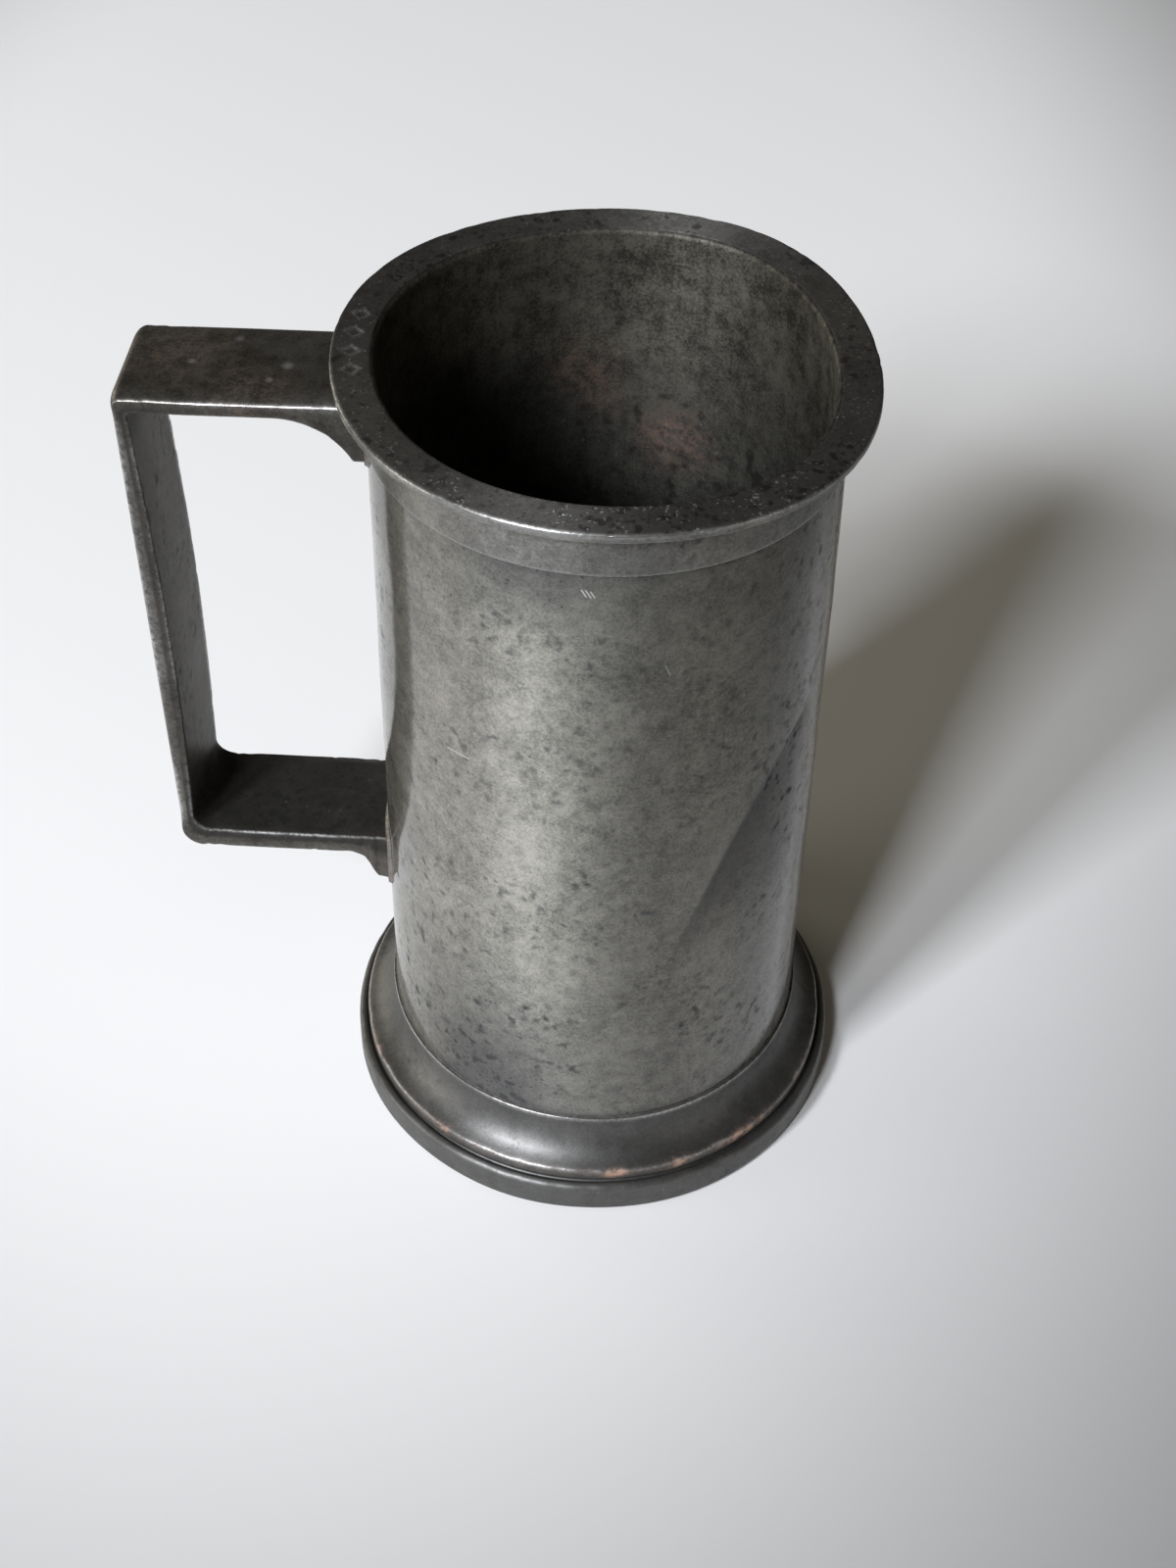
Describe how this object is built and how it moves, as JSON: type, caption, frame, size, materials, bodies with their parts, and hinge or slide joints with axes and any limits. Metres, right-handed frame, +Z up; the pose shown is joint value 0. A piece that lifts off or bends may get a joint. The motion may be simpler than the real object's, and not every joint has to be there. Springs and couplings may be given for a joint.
{
  "type": "handled pewter measure",
  "caption": "Straight-sided pewter drinking measure with a flanged rim, a moulded hollow foot and a wide flat strap handle soldered to the drum.",
  "frame": {"origin": "on the drum's axis, at the level of the table", "axes": "+Z up along the drum's axis, handle towards -X, symmetric about the XZ plane"},
  "size_m": [0.1469, 0.1092, 0.19],
  "materials": {
    "drum_pewter": "worn grey pewter, satin, finely pitted",
    "rim_pewter": "dark oxidised pewter with bright worn edges",
    "floor_pewter": "dark stained pewter",
    "foot_pewter": "satin grey pewter with bright worn edges",
    "handle_pewter": "brown-black oxidised pewter with bright worn edges",
    "solder": "dull brownish solder"
  },
  "bodies": {
    "root": {"drum": "drum_pewter", "rim": "rim_pewter", "base_plate": "floor_pewter", "foot": "foot_pewter", "handle": "handle_pewter", "rim_solder": "solder", "base_solder": "solder", "foot_solder": "solder", "upper_handle_solder": "solder", "lower_handle_solder": "solder"}
  },
  "joints": []
}
